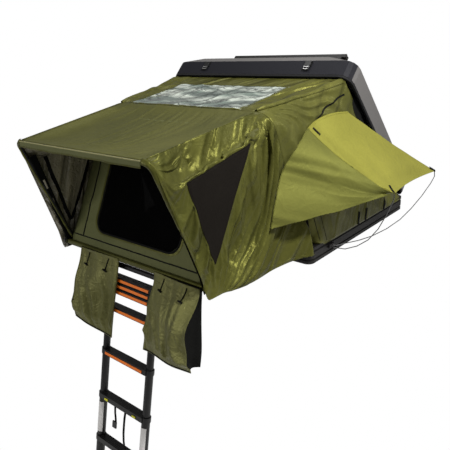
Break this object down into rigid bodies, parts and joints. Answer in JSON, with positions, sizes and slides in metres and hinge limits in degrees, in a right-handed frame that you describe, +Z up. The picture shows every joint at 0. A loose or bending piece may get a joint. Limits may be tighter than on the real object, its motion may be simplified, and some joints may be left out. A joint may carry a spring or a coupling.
{
  "type": "hard shell roof top tent",
  "caption": "Wedge-shaped hard shell tent for a vehicle's roof rack, open: hinged lid, fold-out floor, fly sheet on bows, side awnings, boot bags and a telescoping ladder.",
  "frame": {"origin": "middle of the front rack rail's flat underside", "axes": "+Z up, +X to the right seen from the front, -Y the way the floor folds out"},
  "size_m": [2.1998, 2.6815, 2.9433],
  "materials": {
    "black_extrusion": "black powder-coated aluminium extrusion, satin",
    "lid_grey": "finely textured grey hard shell, matt",
    "black_rubber": "black foam rubber seal, matt",
    "zinc_steel": "zinc-plated steel, satin",
    "floor_board": "light core board with a smooth grey facing",
    "mattress_cover": "grey woven mattress cover",
    "headliner": "black felted headliner",
    "olive_canvas": "coated olive polyester-cotton canvas with a slight sheen",
    "lime_awning": "the same canvas in a lighter lime shade",
    "black_mesh": "fine black insect mesh",
    "clear_window": "clear flexible sheet, glossy, slightly crinkled",
    "bow_tube": "dark anodised tube",
    "ladder_black": "black anodised tube with moulded black treads",
    "button_yellow": "moulded yellow plastic",
    "spring_rod": "grey spring steel"
  },
  "bodies": {
    "base": {"base_frame": "black_extrusion", "base_floor": "floor_board", "front_rack_rail": "black_extrusion", "rear_rack_rail": "black_extrusion", "rear_mattress": "mattress_cover", "rear_hinge_base": "zinc_steel", "floor_hinge_base": "zinc_steel", "awning_rod_left_front": "spring_rod", "awning_rod_left_rear": "spring_rod", "awning_rod_right_front": "spring_rod", "awning_rod_right_rear": "spring_rod", "side_awning_left": "lime_awning", "side_awning_right": "lime_awning", "side_wall_left": "olive_canvas", "side_wall_right": "olive_canvas"},
    "lid": {"lid_shell": "lid_grey", "lid_seal": "black_rubber", "lid_liner": "headliner", "accessory_bar": "black_extrusion", "rear_hinge_lid": "zinc_steel", "latch_left_plate": "zinc_steel", "latch_right_plate": "zinc_steel", "roof_rear": "olive_canvas", "skylight": "clear_window"},
    "latch_left": {"latch_left_lever": "zinc_steel"},
    "latch_right": {"latch_right_lever": "zinc_steel"},
    "strut_tube_left": {"strut_tube_left": "ladder_black"},
    "strut_tube_right": {"strut_tube_right": "ladder_black"},
    "strut_rod_left": {"strut_rod_left": "zinc_steel"},
    "strut_rod_right": {"strut_rod_right": "zinc_steel"},
    "floor": {"fold_floor": "floor_board", "floor_edge_trim": "black_extrusion", "floor_hinge_leaf": "zinc_steel", "front_mattress": "mattress_cover", "ladder_bracket": "black_extrusion", "roof_front": "olive_canvas", "awning_valance": "olive_canvas", "wing_left": "olive_canvas", "wing_right": "olive_canvas", "vent_left": "black_mesh", "vent_right": "black_mesh", "front_wall": "olive_canvas", "door_mesh": "black_mesh", "boot_bag_left": "olive_canvas", "boot_bag_right": "olive_canvas"},
    "front_bow": {"front_bow": "bow_tube"},
    "mid_bow": {"mid_bow": "bow_tube"},
    "ladder_top": {"ladder_top_bar": "ladder_black"},
    "ladder_1": {"ladder_section_1": "ladder_black"},
    "ladder_2": {"ladder_section_2": "ladder_black"},
    "ladder_3": {"ladder_section_3": "ladder_black"},
    "ladder_4": {"ladder_section_4": "ladder_black"},
    "ladder_5": {"ladder_section_5": "ladder_black"},
    "ladder_6": {"ladder_section_6": "ladder_black"},
    "ladder_7": {"ladder_section_7": "ladder_black"},
    "ladder_8": {"ladder_section_8": "ladder_black"},
    "button_left": {"release_button_left": "button_yellow"},
    "button_right": {"release_button_right": "button_yellow"}
  },
  "joints": [
    {"name": "lid_hinge", "type": "hinge", "parent": "base", "child": "lid", "pos_m": [0, 1.119, 0.1503], "axis": [1, 0, 0], "range_deg": [0, 37], "deforming": ["awning_valance", "boot_bag_left", "boot_bag_right", "door_mesh", "front_wall", "roof_front", "roof_rear", "side_awning_left", "side_awning_right", "side_wall_left", "side_wall_right", "skylight", "vent_left", "vent_right", "wing_left", "wing_right", "awning_rod_left_front", "awning_rod_left_rear", "awning_rod_right_front", "awning_rod_right_rear", "lid_seal"]},
    {"name": "floor_fold", "type": "hinge", "parent": "base", "child": "floor", "pos_m": [0, -0.304, 0.1583], "axis": [1, 0, 0], "range_deg": [-140, 0]},
    {"name": "mid_bow_fold", "type": "hinge", "parent": "base", "child": "mid_bow", "pos_m": [0, -0.26, 0.1203], "axis": [1, 0, 0], "range_deg": [-103.6, 0]},
    {"name": "front_bow_fold", "type": "hinge", "parent": "floor", "child": "front_bow", "pos_m": [0, -1.09, 0.1963], "axis": [1, 0, 0], "range_deg": [-113.55, 0]},
    {"name": "ladder_tilt", "type": "hinge", "parent": "floor", "child": "ladder_top", "pos_m": [0, -1.085, 0.1033], "axis": [1, 0, 0], "range_deg": [0, 101.5]},
    {"name": "strut_tilt_left", "type": "hinge", "parent": "base", "child": "strut_tube_left", "pos_m": [-0.69, 0.669, 0.1303], "axis": [1, 0, 0], "range_deg": [0, 54.64]},
    {"name": "strut_slide_left", "type": "slide", "parent": "strut_tube_left", "child": "strut_rod_left", "axis": [0, -0.2418, 0.9703], "range_m": [-0.22557, 0]},
    {"name": "latch_left_swing", "type": "hinge", "parent": "lid", "child": "latch_left", "pos_m": [-0.43, 0.12952, 1.21887], "axis": [-1, 0, 0], "range_deg": [0, 100]},
    {"name": "strut_tilt_right", "type": "hinge", "parent": "base", "child": "strut_tube_right", "pos_m": [0.69, 0.669, 0.1303], "axis": [1, 0, 0], "range_deg": [0, 54.64]},
    {"name": "strut_slide_right", "type": "slide", "parent": "strut_tube_right", "child": "strut_rod_right", "axis": [0, -0.2418, 0.9703], "range_m": [-0.22557, 0]},
    {"name": "latch_right_swing", "type": "hinge", "parent": "lid", "child": "latch_right", "pos_m": [0.43, 0.12952, 1.21887], "axis": [-1, 0, 0], "range_deg": [0, 100]},
    {"name": "ladder_slide_1", "type": "slide", "parent": "ladder_top", "child": "ladder_1", "axis": [0, 0.1994, 0.9799], "range_m": [-0.263, 0]},
    {"name": "ladder_slide_2", "type": "slide", "parent": "ladder_1", "child": "ladder_2", "axis": [0, 0.1994, 0.9799], "range_m": [-0.263, 0]},
    {"name": "ladder_slide_3", "type": "slide", "parent": "ladder_2", "child": "ladder_3", "axis": [0, 0.1994, 0.9799], "range_m": [-0.263, 0]},
    {"name": "ladder_slide_4", "type": "slide", "parent": "ladder_3", "child": "ladder_4", "axis": [0, 0.1994, 0.9799], "range_m": [-0.184, 0.079]},
    {"name": "ladder_slide_5", "type": "slide", "parent": "ladder_4", "child": "ladder_5", "axis": [0, 0.1994, 0.9799], "range_m": [0, 0.263]},
    {"name": "ladder_slide_6", "type": "slide", "parent": "ladder_5", "child": "ladder_6", "axis": [0, 0.1994, 0.9799], "range_m": [0, 0.263]},
    {"name": "ladder_slide_7", "type": "slide", "parent": "ladder_6", "child": "ladder_7", "axis": [0, 0.1994, 0.9799], "range_m": [0, 0.263]},
    {"name": "ladder_slide_8", "type": "slide", "parent": "ladder_7", "child": "ladder_8", "axis": [0, 0.1994, 0.9799], "range_m": [0, 0.263]},
    {"name": "release_left_slide", "type": "slide", "parent": "ladder_6", "child": "button_left", "axis": [1, 0, 0], "range_m": [0, 0.008]},
    {"name": "release_right_slide", "type": "slide", "parent": "ladder_6", "child": "button_right", "axis": [-1, 0, 0], "range_m": [0, 0.008]}
  ],
  "couplings": [
    {"joint": "mid_bow_fold", "follows": "floor_fold", "ratio": 0.74},
    {"joint": "front_bow_fold", "follows": "floor_fold", "ratio": 0.8111},
    {"joint": "ladder_tilt", "follows": "floor_fold", "ratio": -0.725},
    {"joint": "strut_tilt_left", "follows": "lid_hinge", "ratio": 1.4768},
    {"joint": "strut_slide_left", "follows": "lid_hinge", "m_per_rad": -0.3493},
    {"joint": "strut_tilt_right", "follows": "lid_hinge", "ratio": 1.4768},
    {"joint": "strut_slide_right", "follows": "lid_hinge", "m_per_rad": -0.3493}
  ]
}
